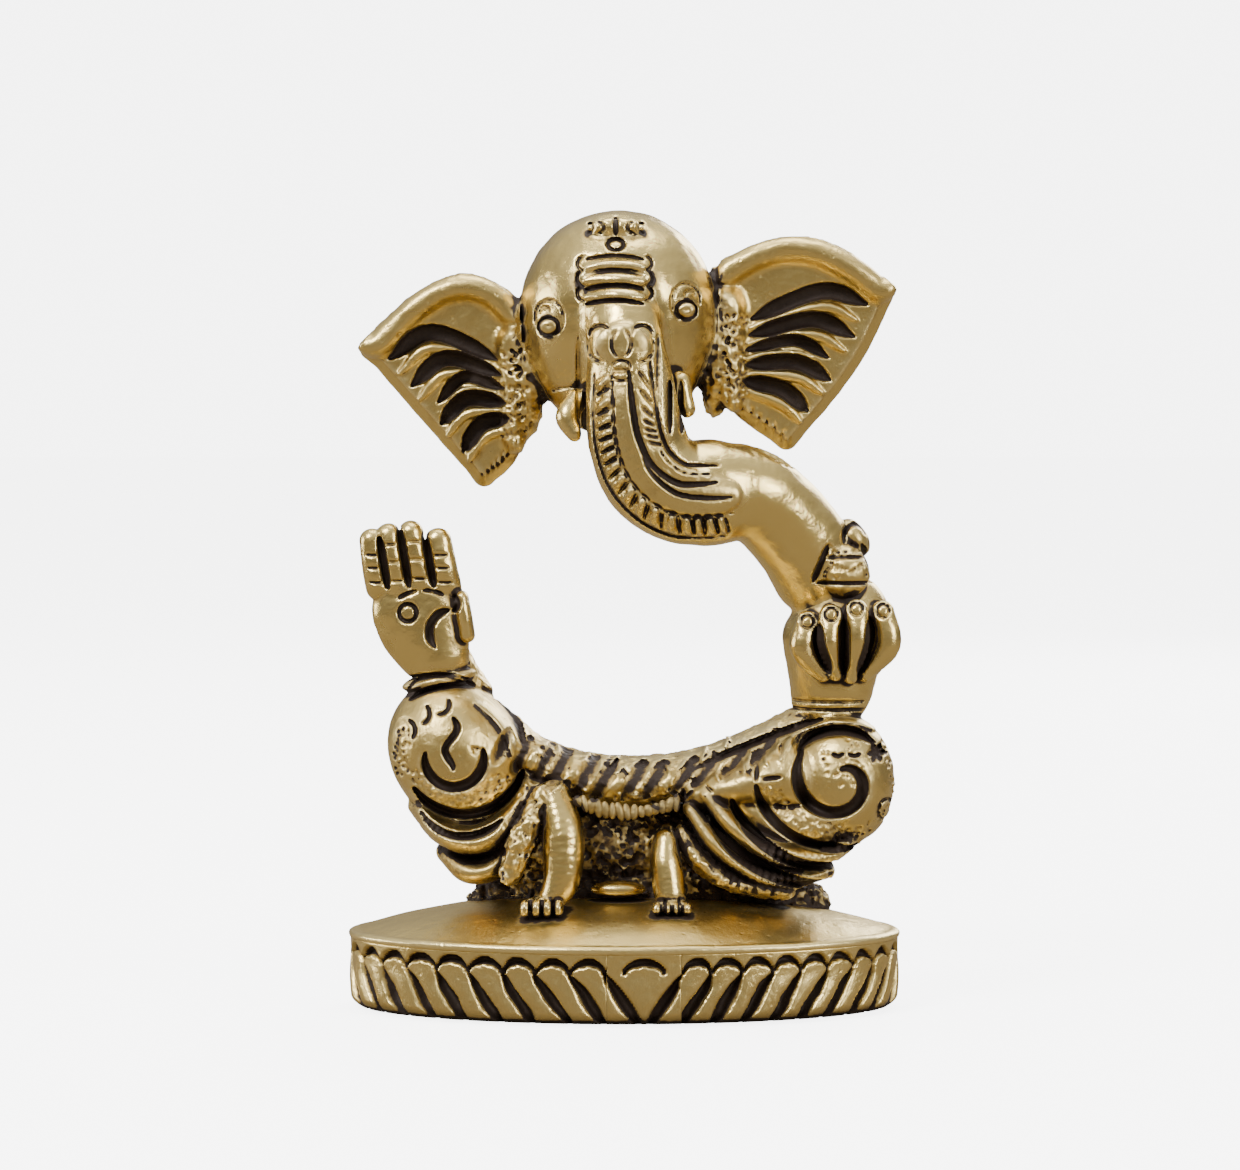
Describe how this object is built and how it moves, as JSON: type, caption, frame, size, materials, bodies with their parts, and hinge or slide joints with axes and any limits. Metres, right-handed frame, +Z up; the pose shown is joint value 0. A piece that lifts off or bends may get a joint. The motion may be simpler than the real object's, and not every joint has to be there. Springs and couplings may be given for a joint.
{
  "type": "deity figurine",
  "caption": "Small cast brass desk figurine of an elephant-headed deity: head, curled trunk, raised hand and folded legs round an open body, on an oval plinth with slanted petals.",
  "frame": {"origin": "middle of the plinth's flat underside", "axes": "+Z up along the figure's height, -Y towards the viewer who faces it, +X to that viewer's right"},
  "size_m": [0.052, 0.03, 0.075],
  "materials": {
    "polished_brass": "hand-polished antique brass, bright on the high spots, with faint file streaks",
    "antique_brass": "antique brass with brown-black patina left in the engraved grooves",
    "dark_patina": "unpolished porous casting skin under near-black patina"
  },
  "bodies": {
    "root": {"plinth_cap": "polished_brass", "plinth_core": "antique_brass", "front_bud": "antique_brass", "back_bud": "antique_brass", "left_petal_band": "antique_brass", "right_petal_band": "antique_brass", "waist_crescent": "antique_brass", "left_bangle": "antique_brass", "left_knee": "antique_brass", "right_knee": "antique_brass", "seat_mound": "dark_patina", "left_shin": "polished_brass", "right_shin": "polished_brass", "left_toes": "polished_brass", "right_toes": "polished_brass", "left_fold_upper": "antique_brass", "left_fold_lower": "antique_brass", "left_hem": "antique_brass", "right_lap": "antique_brass", "right_fold_upper": "antique_brass", "right_fold_middle": "antique_brass", "right_fold_lower": "antique_brass", "waist_fringe": "dark_patina", "offering_step": "polished_brass", "raised_palm": "polished_brass", "left_forearm": "antique_brass", "raised_little_finger": "polished_brass", "raised_ring_finger": "polished_brass", "raised_middle_finger": "polished_brass", "raised_index_finger": "polished_brass", "raised_thumb": "polished_brass", "right_forearm": "polished_brass", "holding_palm": "polished_brass", "holding_little_finger": "polished_brass", "holding_ring_finger": "polished_brass", "holding_middle_finger": "polished_brass", "holding_index_finger": "polished_brass", "sweet": "antique_brass", "skull": "polished_brass", "trunk_root": "polished_brass", "trunk_bend": "polished_brass", "trunk_arch": "polished_brass", "trunk_tip": "antique_brass", "trunk_ornament": "antique_brass", "brow_flower": "antique_brass", "forehead_mark": "polished_brass", "crown_mark": "polished_brass", "left_eye": "antique_brass", "right_eye": "antique_brass", "left_tusk": "polished_brass", "right_tusk": "polished_brass", "left_ear_root": "antique_brass", "right_ear_root": "antique_brass", "left_ear": "antique_brass", "right_ear": "antique_brass"}
  },
  "joints": []
}
